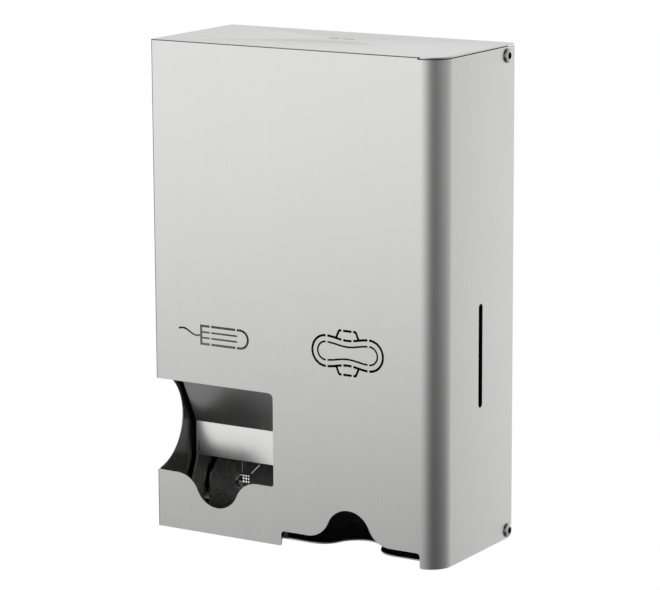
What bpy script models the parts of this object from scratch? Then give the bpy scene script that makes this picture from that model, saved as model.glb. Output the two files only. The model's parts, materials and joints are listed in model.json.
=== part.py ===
"""Tampon and pad dispenser: a wall-hung box of sheet steel with two gravity-fed bays.

Metres, +Z up. The origin is the middle of the back plate's rear face, which lies on the wall,
and the front of the cover faces -Y. The cover swings forward and down about two pivot screws
at its bottom rear corners. A sprung latch under its top holds it shut, and a two-pronged key
through the slots in the top presses the latch down.
"""

import math

import bmesh
import bpy
from mathutils import Matrix, Vector

# Fits shared by every piece
CLEARANCE = 0.0003
OVERRUN = 0.003
ARC_STEPS = 8

# Cover: one sheet folded into front, sides and top
COVER_WIDTH = 0.238
COVER_DEPTH = 0.106
COVER_HEIGHT = 0.360
COVER_SHEET = 0.001
CORNER_RADIUS = 0.016
FOLD_RADIUS = 0.0013
SEAM_GAP = 0.0007
RELIEF_WIDTH = 0.0022
TOP_REAR_RADIUS = 0.0015
WALL_GAP = 0.0005

# Opening of the tampon bay
OPENING_EDGE = 0.0026
OPENING_TOP = 0.1116
OPENING_SILL = 0.0427
OPENING_RADIUS = 0.004
SILL_RADIUS = 0.002
BELL_HALF_WIDTH = 0.034
BELL_RISE = 0.0227
DIP_OFFSET = 0.0018
SIDE_CUT_RADIUS = 0.036
SIDE_CUT_DEPTH = 0.0335

# Slot of the pad bay along the bottom edge, with a finger arch
NOTCH_EDGE = 0.0037
NOTCH_HEIGHT = 0.011
NOTCH_RADIUS = 0.0025
FOOT_RADIUS = 0.0015
ARCH_OFFSET = 0.001

# Level slot in the right side and key slots in the top
LEVEL_SLOT_DEPTH = 0.058
LEVEL_SLOT_WIDTH = 0.0056
LEVEL_SLOT_LOW = 0.106
LEVEL_SLOT_HIGH = 0.181
KEY_SLOT_LENGTH = 0.009
KEY_SLOT_WIDTH = 0.0018
KEY_SLOT_SPACING = 0.012
KEY_SLOT_INSET = 0.039

# Stencilled signs above the two openings
STROKE = 0.0017
FINE_STROKE = 0.0013
BRIDGE = 0.0014
SIGN_HEIGHT = 0.1482
TAMPON_SIGN_LEFT = 0.0404
TAMPON_SIGN_LENGTH = 0.040
TAMPON_SIGN_RADIUS = 0.0066
TAMPON_LINE_OFFSET = 0.0021
TAMPON_BRIDGES = (0.008, 0.030)
STRING_LENGTH = 0.0195
STRING_RISE = 0.0026
STRING_SWING = 0.0015
STRING_WAVE_SHARE = 0.97
PAD_SIGN_OFFSET = 0.0011
PAD_LOBE_OFFSET = 0.0178
PAD_LOBE_RADIUS = 0.0111
PAD_WAIST = 0.0022
PAD_INNER_INSET = 0.0045
PAD_WING_BASE = 0.0093
PAD_WING_TOP = 0.0068
PAD_WING_RADIUS = 0.0012
PAD_WING_RISE = 0.0058
PAD_WING_BRIDGE = 0.0041

# Button-head screws: pivots at the bottom, guide studs at the top
SCREW_RADIUS = 0.003
SCREW_HEAD_RADIUS = 0.00525
SCREW_HEAD_HEIGHT = 0.0018
SCREW_LENGTH = 0.0080
SOCKET_FLATS = 0.004
SOCKET_DEPTH = 0.002
NUT_FLATS = 0.010
NUT_HEIGHT = 0.0032
PIVOT_INSET = 0.006
STUD_REAR_INSET = 0.0105
STUD_TOP_INSET = 0.008
WASHER_RADIUS = 0.0055
WASHER_HEIGHT = 0.0005
SCREW_SIDES = 24

# Back plate: the pan that is screwed to the wall
PLATE_SHEET = 0.001
PLATE_FOLD = 0.0018
FLANGE_DEPTH = 0.024
PLATE_TOP_GAP = 0.0015
STUD_NOTCH_GAP = 0.0008
VENT_RADIUS = 0.0009
VENT_PITCH = 0.0024
VENT_INSET = 0.0027
VENT_LOW = 0.0096
VENT_SIDES = 10
WINDOW_INSET = 0.0018
WINDOW_WIDTH = 0.0175
WINDOW_LOW = 0.0165
WINDOW_HIGH = 0.0285
WALL_HOLE_RADIUS = 0.003
WALL_HOLE_INSET = 0.039
WALL_HOLE_LOW = 0.062
WALL_HOLE_DROP = 0.060
KEYHOLE_RADIUS = 0.0055
KEYHOLE_DROP = 0.009

# Magazine plates that part the two bays
MAGAZINE_SHEET = 0.001
MAGAZINE_DROP = 0.040
MAGAZINE_FRONT_GAP = 0.002
MAGAZINE_FLANGE = 0.012
LEFT_PLATE_INSET = 0.0034
DIVIDER_INSET = 0.1036
RIGHT_PLATE_INSET = 0.0157
OUTER_FLANGE = 0.0105
LIP_WIDTH = 0.008
LIP_LOW = 0.040
LIP_DROP = 0.010
LEVEL_WINDOW_WIDTH = 0.012
PLATE_FOOT = 0.003
FOOT_NOTCH_LENGTH = 0.017
FOOT_NOTCH_HEIGHT = 0.0145

# Front guide of the tampon bay: a slope, then a vertical throat
GUIDE_TOP = 0.155
THROAT_TOP = 0.0708
THROAT_BOTTOM = 0.0449
THROAT_DEPTH = 0.0445
CHEEK_TOE_DEPTH = 0.0280
TOE_SETBACK = 0.0015
TOE_DROP = 0.003
GUIDE_FOLD = 0.0015
GUIDE_TAB_LENGTH = 0.012
GUIDE_TAB_LOW = 0.052
GUIDE_TAB_HIGH = 0.066
GUIDE_SLIT_OFFSET = 0.0018
GUIDE_SLIT_WIDTH = 0.001
GUIDE_SLIT_LENGTH = 0.0096

# Tampon tray: a folded pan under the throat
TRAY_GAP = 0.0018
TRAY_FRONT_HEIGHT = 0.0065
TRAY_REAR_HEIGHT = 0.0085
TRAY_LIP_TOP = 0.0165
TRAY_BACK_TOP = 0.048
TRAY_CHEEK_TOP = 0.042
TRAY_CHEEK_DEPTH = 0.0579
TRAY_CHEEK_BEND = 0.022
TRAY_CHEEK_BEND_LOW = 0.0168
TRAY_CHEEK_LEAN = 42
TRAY_CHEEK_SEAM = 0.0018
TRAY_RELIEF_WIDTH = 0.006
TRAY_RELIEF_DEPTH = 0.0115
TRAY_RELIEF_RISE = 0.0067
TRAY_SLIT_WIDTH = 0.00035
TRAY_SLIT_REACH = 0.0098

# Pad shelf
SHELF_TOP = 0.005
SHELF_SIDE_RISE = 0.009
SHELF_BACK_RISE = 0.030
SHELF_FRONT_GAP = 0.002
SHELF_FRONT_RADIUS = 0.006
SHELF_CUT_DEPTH = 0.0247

# Rivets
RIVET_RADIUS = 0.0016
RIVET_HEAD_RADIUS = 0.0032
RIVET_HEAD_HEIGHT = 0.0011
RIVET_SIDES = 16
RIVET_LOW = 0.100
RIVET_DROP = 0.030
TRAY_RIVET_HEIGHT = 0.038
TRAY_RIVET_INSET = 0.0201
SHELF_RIVET_HEIGHT = 0.024
SHELF_RIVET_INSET = 0.0194
BRACKET_RIVET_SPACING = 0.046
BRACKET_RIVET_DROP = 0.020

# Latch under the key slots
LATCH_SHEET = 0.0015
LATCH_PIN_RADIUS = 0.0015
LATCH_PIN_INSET = 0.014
LATCH_PIN_DROP = 0.015
LATCH_KNUCKLE_RADIUS = 0.003
LATCH_WIDTH = 0.025
LATCH_TIP_INSET = 0.046
LATCH_SPRING_ROOM = 0.009
NOSE_RISE = 0.0055
NOSE_LENGTH = 0.007
NOSE_WIDTH = 0.020
CATCH_INSET = 0.028
CATCH_WIDTH = 0.036
CATCH_TAB_DROP = 0.024
CATCH_WINDOW_WIDTH = 0.027
CATCH_WINDOW_HIGH = 0.0095
CATCH_WINDOW_LOW = 0.020
CATCH_LEG = 0.012
BRACKET_WIDTH = 0.030
BRACKET_EAR_DROP = 0.022
BRACKET_BASE_WIDTH = 0.056
BRACKET_NOSE_RADIUS = 0.005
PIN_END = 0.0015
SPRING_WIRE = 0.0004
SPRING_RADIUS = 0.0024
SPRING_PITCH = 0.0014
SPRING_TURNS = 4
SPRING_STEPS = 10
SPRING_ARM = 0.011

# Planes that the sizes above give
LEFT = -COVER_WIDTH / 2
RIGHT = COVER_WIDTH / 2
REAR = -WALL_GAP
FRONT = REAR - COVER_DEPTH
BOTTOM = -COVER_HEIGHT / 2
TOP = COVER_HEIGHT / 2
PIVOT = Vector((0, REAR - PIVOT_INSET, BOTTOM + PIVOT_INSET))
STUD = Vector((0, REAR - STUD_REAR_INSET, TOP - STUD_TOP_INSET))
SIDE_GAP = WASHER_HEIGHT + 2 * CLEARANCE
PLATE_HALF_WIDTH = COVER_WIDTH / 2 - COVER_SHEET - SIDE_GAP
PLATE_TOP = TOP - COVER_SHEET - PLATE_TOP_GAP
LEFT_PLATE = LEFT + LEFT_PLATE_INSET
DIVIDER = LEFT + DIVIDER_INSET
RIGHT_PLATE = RIGHT - RIGHT_PLATE_INSET
FLANGE_FACE = -PLATE_SHEET - CLEARANCE
MAGAZINE_FRONT = FRONT + COVER_SHEET + MAGAZINE_FRONT_GAP
TRAY_MIDDLE = (LEFT_PLATE + DIVIDER) / 2
MAGAZINE_TOP = TOP - MAGAZINE_DROP
OPENING_RIGHT = DIVIDER - OPENING_EDGE
NOTCH_LEFT, NOTCH_RIGHT = DIVIDER + NOTCH_EDGE, RIGHT - CORNER_RADIUS
ARCH_CENTRE = (NOTCH_LEFT + NOTCH_RIGHT) / 2 - ARCH_OFFSET
PAD_SIGN_CENTRE = (NOTCH_LEFT + NOTCH_RIGHT) / 2 - PAD_SIGN_OFFSET
LATCH_AXIS = Vector((0, REAR - LATCH_PIN_INSET, TOP - LATCH_PIN_DROP))
CATCH_FACE = REAR - CATCH_INSET

PARTS = "tampon_and_pad_dispenser"
CUTTERS = "cutters"


def start_scene():
    """Empties the scene and adds the two collections."""
    for obj in list(bpy.data.objects):
        bpy.data.objects.remove(obj)
    for name in (PARTS, CUTTERS):
        bpy.context.scene.collection.children.link(bpy.data.collections.new(name))


def steel(name, colour, roughness, metallic=1.0):
    """A plain Principled material."""
    material = bpy.data.materials.new(name)
    material.use_nodes = True
    shader = material.node_tree.nodes["Principled BSDF"]
    shader.inputs["Base Color"].default_value = (*colour, 1.0)
    shader.inputs["Roughness"].default_value = roughness
    shader.inputs["Metallic"].default_value = metallic
    material.diffuse_color = (*colour, 1.0)
    return material


def add_object(name, mesh):
    obj = bpy.data.objects.new(name, mesh)
    bpy.data.collections[PARTS].objects.link(obj)
    return obj


def from_bmesh(name, shape):
    mesh = bpy.data.meshes.new(name)
    shape.to_mesh(mesh)
    shape.free()
    return add_object(name, mesh)


def box(name, low, high):
    """A box between two corners."""
    shape = bmesh.new()
    bmesh.ops.create_cube(shape, size=1)
    for vert in shape.verts:
        vert.co = [b if place > 0 else a for place, a, b in zip(vert.co, low, high)]
    return from_bmesh(name, shape)


def rod(name, start, end, radius, sides=SCREW_SIDES):
    """A round bar, or a prism where it has few sides, from start to end."""
    start, end = Vector(start), Vector(end)
    along = end - start
    turn = along.to_track_quat("Z", "Y").to_matrix().to_4x4()
    shape = bmesh.new()
    bmesh.ops.create_cone(
        shape, cap_ends=True, segments=sides, radius1=radius, radius2=radius,
        depth=along.length, matrix=Matrix.Translation((start + end) / 2) @ turn,
    )
    return from_bmesh(name, shape)


def turned(name, profile, place, direction, sides):
    """A turned shape: (radius, height) pairs from its top down, along direction."""
    shape = bmesh.new()
    points = [shape.verts.new((radius, 0, height)) for radius, height in profile]
    for upper, lower in zip(points, points[1:]):
        shape.edges.new((upper, lower))
    obj = from_bmesh(name, shape)
    obj.matrix_world = Matrix.Translation(place) @ Vector(direction).to_track_quat("Z", "Y").to_matrix().to_4x4()
    screw = obj.modifiers.new("turn", "SCREW")
    screw.steps = screw.render_steps = sides
    screw.use_merge_vertices = True
    screw.merge_threshold = 0.00001
    return obj


def flat(name, outline, across, low, high):
    """A flat outline given thickness across an axis, from low to high.

    Across X the outline is (y, z), across Y it is (x, z) and across Z it is (x, y).
    """
    curve = bpy.data.curves.new(name, "CURVE")
    curve.dimensions = "2D"
    curve.fill_mode = "BOTH"
    curve.extrude = (high - low) / 2
    spline = curve.splines.new("POLY")
    spline.points.add(len(outline) - 1)
    for point, (a, b) in zip(spline.points, outline):
        point.co = (a, b, 0, 1)
    spline.use_cyclic_u = True
    obj = bpy.data.objects.new(name, curve)
    bpy.data.collections[PARTS].objects.link(obj)
    bpy.context.view_layer.update()
    mesh = bpy.data.meshes.new_from_object(obj.evaluated_get(bpy.context.evaluated_depsgraph_get()))
    bpy.data.objects.remove(obj)
    shape = bmesh.new()
    shape.from_mesh(mesh)
    bmesh.ops.remove_doubles(shape, verts=shape.verts, dist=CLEARANCE / 100)
    for vert in shape.verts:
        a, b, side = vert.co
        end = high if (side > 0) == (across != "Y") else low
        vert.co = {"X": (end, a, b), "Y": (a, end, b), "Z": (a, b, end)}[across]
    bmesh.ops.recalc_face_normals(shape, faces=shape.faces)
    return from_bmesh(name, shape)


def ribbons(name, paths, span, thickness):
    """Open paths swept along span and given thickness about their middle."""
    shape = bmesh.new()
    for path in paths:
        points = [shape.verts.new(point) for point in path]
        edges = [shape.edges.new(pair) for pair in zip(points, points[1:])]
        swept = bmesh.ops.extrude_edge_only(shape, edges=edges)
        moved = [item for item in swept["geom"] if isinstance(item, bmesh.types.BMVert)]
        bmesh.ops.translate(shape, vec=Vector(span), verts=moved)
    obj = from_bmesh(name, shape)
    wall = obj.modifiers.new("wall", "SOLIDIFY")
    wall.thickness = thickness
    wall.offset = 0
    wall.use_even_offset = True
    return obj


def arc(centre, radius, first, last, steps=ARC_STEPS):
    """Points on a round stretch, by angles in degrees."""
    angles = [math.radians(first + (last - first) * step / steps) for step in range(steps + 1)]
    return [(centre[0] + radius * math.cos(a), centre[1] + radius * math.sin(a)) for a in angles]


def rounded(points, radius, steps=4):
    """An open path with its inner corners rounded."""
    path = [Vector(points[0])]
    for before, corner, after in zip(points, points[1:], points[2:]):
        corner = Vector(corner)
        back, ahead = (Vector(before) - corner).normalized(), (Vector(after) - corner).normalized()
        half = back.angle(ahead) / 2
        centre = corner + (back + ahead).normalized() * radius / math.sin(half)
        start = corner + back * radius / math.tan(half) - centre
        end = corner + ahead * radius / math.tan(half) - centre
        path += [centre + start.slerp(end, step / steps) * radius for step in range(steps + 1)]
    return path + [Vector(points[-1])]


def combine(target, tool, operation):
    """Joins a helper to target, or cuts it away."""
    bpy.data.collections[PARTS].objects.unlink(tool)
    bpy.data.collections[CUTTERS].objects.link(tool)
    tool.hide_render = True
    tool.display_type = "WIRE"
    tool.parent = target
    tool.matrix_parent_inverse = target.matrix_world.inverted()
    boolean = target.modifiers.new(tool.name, "BOOLEAN")
    boolean.operation = operation
    boolean.object = tool


def cut(target, *tools):
    for tool in tools:
        combine(target, tool, "DIFFERENCE")


def join(target, *tools):
    for tool in tools:
        combine(target, tool, "UNION")


def both_sides(make):
    """Calls make(name ending, outward direction) for the left and the right side."""
    return [make("left", -1), make("right", 1)]


def cover_plan(inset, rear):
    """Plan of the cover: a tight fold at the left corner and a wide bend at the right one."""
    fold = max(FOLD_RADIUS - inset, CLEARANCE)
    left_turn = arc((LEFT + inset + fold, FRONT + inset + fold), fold, 180, 270, 3)
    bend = CORNER_RADIUS - inset
    right_turn = arc((RIGHT - CORNER_RADIUS, FRONT + CORNER_RADIUS), bend, -90, 0, 2 * ARC_STEPS)
    return [(LEFT + inset, rear)] + left_turn + right_turn + [(RIGHT - inset, rear)]


def bell(centre, base, rise):
    """Two equal arcs each way from a level edge to a rounded crest, or down to a dip."""
    radius = (BELL_HALF_WIDTH**2 + rise**2) / (4 * abs(rise))
    swing = math.asin(BELL_HALF_WIDTH / (2 * radius))
    way = math.copysign(1, rise)
    turns = [swing * step / ARC_STEPS for step in range(ARC_STEPS + 1)]
    foot = [(radius * math.sin(t), way * radius * (1 - math.cos(t))) for t in turns]
    up = [(centre - BELL_HALF_WIDTH + a, base + b) for a, b in foot[:-1]]
    crest = [(centre - a, base + rise - b) for a, b in reversed(foot)]
    over = [(centre + a, base + rise - b) for a, b in foot[1:]]
    down = [(centre + BELL_HALF_WIDTH - a, base + b) for a, b in reversed(foot[:-1])]
    return up + crest + over + down


def rounded_slot(first, last, radius):
    """Outline of a slot with round ends, between two end centres on a level or upright line."""
    lean = math.degrees(math.atan2(last[1] - first[1], last[0] - first[0]))
    return arc(first, radius, lean + 90, lean + 270) + arc(last, radius, lean - 90, lean + 90)


def corner_cutter(name, y, z, radius, x_low, x_high):
    """Rounds a lower rear corner that is seen from the side."""
    turn = arc((y - radius, z + radius), radius, -90, 0)
    outline = turn + [(y + OVERRUN, z + radius), (y + OVERRUN, z - OVERRUN), (y - radius, z - OVERRUN)]
    return flat(name, outline, "X", x_low, x_high)


def tampon_sign():
    """Strokes of the tampon sign: outline, then the lines that branch from it."""
    left, level = LEFT + TAMPON_SIGN_LEFT, BOTTOM + SIGN_HEIGHT
    nose = left + TAMPON_SIGN_LENGTH - TAMPON_SIGN_RADIUS
    first, second = (left + bridge for bridge in TAMPON_BRIDGES)
    half = BRIDGE / 2
    outline = [[
        (first - half, level + TAMPON_SIGN_RADIUS), (left, level + TAMPON_SIGN_RADIUS),
        (left, level - TAMPON_SIGN_RADIUS), (first - half, level - TAMPON_SIGN_RADIUS),
    ]]
    branches = []
    for side in (-1, 1):
        edge = level + side * TAMPON_SIGN_RADIUS
        outline.append([(first + half, edge), (second - half, edge)])
        line = level + side * TAMPON_LINE_OFFSET
        branches.append([(left, line), (first - half, line)])
        branches.append([(first + half, line), (second + half, line)])
    tip = arc((nose, level), TAMPON_SIGN_RADIUS, -90, 90, 2 * ARC_STEPS)
    lead = second + half
    outline.append([(lead, level - TAMPON_SIGN_RADIUS)] + tip + [(lead, level + TAMPON_SIGN_RADIUS)])
    string, shares = [], [step / (2 * ARC_STEPS) for step in range(2 * ARC_STEPS + 1)]
    for share in shares:
        lift = STRING_RISE * share - STRING_SWING * math.sin(math.tau * STRING_WAVE_SHARE * share)
        string.append((left - STRING_LENGTH * share, level + lift))
    branches.append(string)
    return outline, branches


def pad_outline(inset, side, start, end):
    """Points of one long side of the pad sign, between two places along it."""
    radius = PAD_LOBE_RADIUS - inset
    points = []
    for step in range(ARC_STEPS + 1):
        place = start + (end - start) * step / ARC_STEPS
        waist = PAD_WAIST * (1 + math.cos(math.pi * place / PAD_LOBE_OFFSET)) / 2
        points.append((PAD_SIGN_CENTRE + place, BOTTOM + SIGN_HEIGHT + side * (radius - waist)))
    return points


def pad_sign():
    """Strokes of the pad sign: a waisted outline, a wing on each long side, and a line inside."""
    centre, level, half = PAD_SIGN_CENTRE, BOTTOM + SIGN_HEIGHT, BRIDGE / 2
    outline, wings, inner = [], [], []
    for inset, strokes in ((0, outline), (PAD_INNER_INSET, inner)):
        for way in (-1, 1):
            lobe = (centre + way * PAD_LOBE_OFFSET, level)
            strokes.append(arc(lobe, PAD_LOBE_RADIUS - inset, 90, 90 - way * 180, 2 * ARC_STEPS))
    for side in (-1, 1):
        near, far = PAD_WING_BRIDGE, PAD_LOBE_OFFSET - BRIDGE
        for start, end in ((-far, -near - half), (-near + half, near - half), (near + half, far)):
            outline.append(pad_outline(0, side, start, end))
        inner.append(pad_outline(PAD_INNER_INSET, side, -far, far))
        crest = level + side * (PAD_LOBE_RADIUS - PAD_WAIST / 2 + PAD_WING_RISE)
        foot = level + side * (PAD_LOBE_RADIUS - PAD_WAIST / 2)
        outline.append([(centre - near + half, crest), (centre + near - half, crest)])
        for way in (-1, 1):
            corner = (centre + way * PAD_WING_TOP, crest)
            wing = [(centre + way * PAD_WING_BASE, foot), corner, (centre + way * (near + half), crest)]
            wings.append(rounded(wing, PAD_WING_RADIUS))
    return outline, wings, inner


def sign_cutters(name, strokes, width):
    """Cutters through the front panel along flat strokes given as (x, z)."""
    depth = FRONT - OVERRUN
    paths = [[Vector((x, depth, z)) for x, z in stroke] for stroke in strokes]
    return ribbons(name, paths, (0, COVER_SHEET + 2 * OVERRUN, 0), width)


def make_cover(material):
    cover = flat("cover_shell", cover_plan(0, REAR), "Z", BOTTOM, TOP)
    cover.data.materials.append(material)
    through = FRONT - OVERRUN, FRONT + COVER_SHEET + OVERRUN
    fold = arc((FRONT + FOLD_RADIUS, TOP - FOLD_RADIUS), FOLD_RADIUS, 180, 90, 4)
    fold += [(FRONT + FOLD_RADIUS, TOP + OVERRUN), (FRONT - OVERRUN, TOP + OVERRUN)]
    fold += [(FRONT - OVERRUN, TOP - FOLD_RADIUS)]
    relief_left = RIGHT - CORNER_RADIUS - RELIEF_WIDTH
    cut(cover, flat("top_fold", fold, "X", LEFT - OVERRUN, relief_left))
    cavity = cover_plan(COVER_SHEET, REAR + OVERRUN)
    cut(cover, flat("cavity", cavity, "Z", BOTTOM - OVERRUN, TOP - COVER_SHEET))

    under_top = TOP - COVER_SHEET
    seam = under_top - SEAM_GAP
    cut(
        cover,
        box("right_seam", (relief_left, FRONT - OVERRUN, seam), (RIGHT + OVERRUN, REAR + OVERRUN, under_top)),
        box(
            "left_seam", (LEFT - OVERRUN, FRONT + 2 * FOLD_RADIUS, seam),
            (LEFT + 2 * COVER_SHEET, REAR + OVERRUN, under_top),
        ),
        box(
            "corner_relief", (relief_left, FRONT - OVERRUN, seam),
            (RIGHT - CORNER_RADIUS, FRONT + COVER_SHEET + SEAM_GAP, TOP + OVERRUN),
        ),
    )

    sill, head = BOTTOM + OPENING_SILL, BOTTOM + OPENING_TOP
    outline = [(LEFT - OVERRUN, sill)] + bell((LEFT + OPENING_RIGHT) / 2 + DIP_OFFSET, sill, -BELL_RISE)
    outline += arc((OPENING_RIGHT - SILL_RADIUS, sill + SILL_RADIUS), SILL_RADIUS, -90, 0, 3)
    outline += arc((OPENING_RIGHT - OPENING_RADIUS, head - OPENING_RADIUS), OPENING_RADIUS, 0, 90)
    outline += [(LEFT - OVERRUN, head)]
    cut(cover, flat("tampon_opening", outline, "Y", *through))

    set_back = SIDE_CUT_RADIUS - SIDE_CUT_DEPTH
    reach = math.sqrt(SIDE_CUT_RADIUS**2 - set_back**2)
    centre = (FRONT - set_back, sill + reach)
    first = -math.degrees(math.asin(reach / SIDE_CUT_RADIUS))
    last = math.degrees(math.asin((head - centre[1]) / SIDE_CUT_RADIUS))
    side = arc(centre, SIDE_CUT_RADIUS, first, last, 3 * ARC_STEPS)
    side += [(FRONT - OVERRUN, head), (FRONT - OVERRUN, sill)]
    cut(cover, flat("side_finger_cut", side, "X", LEFT - OVERRUN, LEFT + COVER_SHEET + OVERRUN))

    left, right, top = NOTCH_LEFT, NOTCH_RIGHT, BOTTOM + NOTCH_HEIGHT
    notch = [(left - FOOT_RADIUS, BOTTOM - OVERRUN)]
    notch += arc((left - FOOT_RADIUS, BOTTOM + FOOT_RADIUS), FOOT_RADIUS, -90, 0, 4)
    notch += arc((left + NOTCH_RADIUS, top - NOTCH_RADIUS), NOTCH_RADIUS, 180, 90, 4)
    notch += bell(ARCH_CENTRE, top, BELL_RISE)
    notch += arc((right - NOTCH_RADIUS, top - NOTCH_RADIUS), NOTCH_RADIUS, 90, 0, 4)
    notch += arc((right + FOOT_RADIUS, BOTTOM + FOOT_RADIUS), FOOT_RADIUS, 180, 270, 4)
    notch += [(right + FOOT_RADIUS, BOTTOM - OVERRUN)]
    cut(cover, flat("pad_slot", notch, "Y", *through))

    half = LEVEL_SLOT_WIDTH / 2
    level = FRONT + LEVEL_SLOT_DEPTH
    slot = rounded_slot((level, BOTTOM + LEVEL_SLOT_LOW + half), (level, BOTTOM + LEVEL_SLOT_HIGH - half), half)
    cut(cover, flat("level_slot", slot, "X", RIGHT - COVER_SHEET - OVERRUN, RIGHT + OVERRUN))

    half, depth = KEY_SLOT_WIDTH / 2, REAR - KEY_SLOT_INSET
    for number, way in enumerate((-1, 1), 1):
        middle = way * KEY_SLOT_SPACING / 2
        reach = KEY_SLOT_LENGTH / 2 - half
        slot = rounded_slot((middle - reach, depth), (middle + reach, depth), half)
        cut(cover, flat(f"key_slot_{number}", slot, "Z", TOP - COVER_SHEET - OVERRUN, TOP + OVERRUN))

    for name, place in (("pivot_holes", PIVOT), ("stud_holes", STUD)):
        reach = Vector((COVER_WIDTH / 2 + OVERRUN, 0, 0))
        cut(cover, rod(name, place - reach, place + reach, SCREW_RADIUS + CLEARANCE))
    for name, way in (("left", -1), ("right", 1)):
        centre = (way * (RIGHT - TOP_REAR_RADIUS), REAR - TOP_REAR_RADIUS)
        turn = arc(centre, TOP_REAR_RADIUS, 90, 90 - way * 90, 4)
        turn += [(way * (RIGHT + OVERRUN), centre[1]), (way * (RIGHT + OVERRUN), REAR + OVERRUN)]
        turn += [(centre[0], REAR + OVERRUN)]
        cut(cover, flat(f"top_rounding_{name}", turn, "Z", under_top - SEAM_GAP / 2, TOP + OVERRUN))

    outline, branches = tampon_sign()
    cut(cover, sign_cutters("tampon_sign_outline", outline, STROKE))
    cut(cover, sign_cutters("tampon_sign_branches", branches, FINE_STROKE))
    outline, wings, inner = pad_sign()
    cut(cover, sign_cutters("pad_sign_outline", outline, STROKE))
    cut(cover, sign_cutters("pad_sign_wings", wings, STROKE))
    cut(cover, sign_cutters("pad_sign_inner", inner, FINE_STROKE))
    cut(cover, corner_cutter("foot_rounding", REAR, BOTTOM, PIVOT_INSET, LEFT - OVERRUN, RIGHT + OVERRUN))
    return cover


def make_catch(material):
    """Angle under the cover's top with a window that the latch nose hooks."""
    ceiling = TOP - COVER_SHEET - CLEARANCE
    tab = CATCH_FACE
    half = CATCH_WIDTH / 2
    middle = Vector((-half, tab + LATCH_SHEET / 2, TOP - CATCH_TAB_DROP))
    corner = Vector((-half, tab + LATCH_SHEET / 2, ceiling - LATCH_SHEET / 2))
    path = rounded([middle, corner, corner + Vector((0, CATCH_LEG, 0))], LATCH_SHEET)
    catch = ribbons("cover_catch", [path], (CATCH_WIDTH, 0, 0), LATCH_SHEET)
    catch.data.materials.append(material)
    window = CATCH_WINDOW_WIDTH / 2
    cut(catch, box(
        "catch_window", (-window, tab - OVERRUN, TOP - CATCH_WINDOW_LOW),
        (window, tab + LATCH_SHEET + OVERRUN, TOP - CATCH_WINDOW_HIGH),
    ))
    return catch


def make_screw(name, place, way, material):
    """Button-head socket screw, its head outside the cover's side."""
    seat = Vector((way * (COVER_WIDTH / 2 + CLEARANCE), place.y, place.z))
    rim = SCREW_HEAD_HEIGHT / 4
    dome = [(SCREW_HEAD_RADIUS * math.sin(a), rim + (SCREW_HEAD_HEIGHT - rim) * math.cos(a))
            for a in (math.pi / 2 * step / ARC_STEPS for step in range(ARC_STEPS + 1))]
    profile = dome + [(SCREW_HEAD_RADIUS, 0), (SCREW_RADIUS, 0), (SCREW_RADIUS, -SCREW_LENGTH), (0, -SCREW_LENGTH)]
    screw = turned(name, profile, seat, (way, 0, 0), SCREW_SIDES)
    screw.data.materials.append(material)
    outer = seat + Vector((way * (SCREW_HEAD_HEIGHT + OVERRUN), 0, 0))
    inner = seat + Vector((way * (SCREW_HEAD_HEIGHT - SOCKET_DEPTH), 0, 0))
    cut(screw, rod(f"{name}_socket", inner, outer, SOCKET_FLATS / math.sqrt(3), 6))
    return screw


def make_nut(name, place, way, material):
    """Hexagon nut inside the back plate's side flange."""
    face = PLATE_HALF_WIDTH - PLATE_SHEET - CLEARANCE
    outer, inner = (Vector((way * x, place.y, place.z)) for x in (face, face - NUT_HEIGHT))
    nut = rod(name, inner, outer, NUT_FLATS / math.sqrt(3), 6)
    nut.data.materials.append(material)
    run = Vector((way * OVERRUN, 0, 0))
    cut(nut, rod(f"{name}_bore", inner - run, outer + run, SCREW_RADIUS + CLEARANCE))
    return nut


def make_washer(name, place, way, material):
    """Plain bush washer between the cover's side and the flange, on the pivot."""
    face = COVER_WIDTH / 2 - COVER_SHEET - CLEARANCE
    outer, inner = (Vector((way * x, place.y, place.z)) for x in (face, face - WASHER_HEIGHT))
    washer = rod(name, inner, outer, WASHER_RADIUS)
    washer.data.materials.append(material)
    run = Vector((way * OVERRUN, 0, 0))
    cut(washer, rod(f"{name}_bore", inner - run, outer + run, SCREW_RADIUS + CLEARANCE))
    return washer


def rivet_places():
    """Name, place of the rivet on the wall plane, for the rivets through the back plate."""
    inner_flange = MAGAZINE_SHEET + MAGAZINE_FLANGE / 2
    columns = (
        ("left_plate_rivet", LEFT_PLATE + inner_flange),
        ("divider_rivet", DIVIDER + inner_flange),
        ("right_plate_rivet", RIGHT_PLATE + MAGAZINE_SHEET + OUTER_FLANGE / 2),
    )
    places = []
    for name, x in columns:
        places += [(f"{name}_low", x, BOTTOM + RIVET_LOW), (f"{name}_high", x, MAGAZINE_TOP - RIVET_DROP)]
    ends = (
        ("left", -1, LEFT_PLATE + TRAY_RIVET_INSET, DIVIDER + SHELF_RIVET_INSET),
        ("right", 1, DIVIDER - TRAY_RIVET_INSET, RIGHT_PLATE - SHELF_RIVET_INSET),
    )
    for end, way, tray, shelf in ends:
        places.append((f"tray_rivet_{end}", tray, BOTTOM + TRAY_RIVET_HEIGHT))
        places.append((f"shelf_rivet_{end}", shelf, BOTTOM + SHELF_RIVET_HEIGHT))
        places.append((f"bracket_rivet_{end}", way * BRACKET_RIVET_SPACING / 2, TOP - BRACKET_RIVET_DROP))
    return places


def make_rivet(name, tail, direction, grip, material):
    """Domed rivet: its shank runs from tail along direction through grip, to a low head."""
    reach = grip + 2 * CLEARANCE
    head = [(RIVET_HEAD_RADIUS * math.sin(a), reach + RIVET_HEAD_HEIGHT * math.cos(a))
            for a in (math.pi / 2 * step / 4 for step in range(5))]
    profile = head + [(RIVET_RADIUS, reach), (RIVET_RADIUS, 0), (0, 0)]
    rivet = turned(name, profile, tail, direction, RIVET_SIDES)
    rivet.data.materials.append(material)
    return rivet


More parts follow.
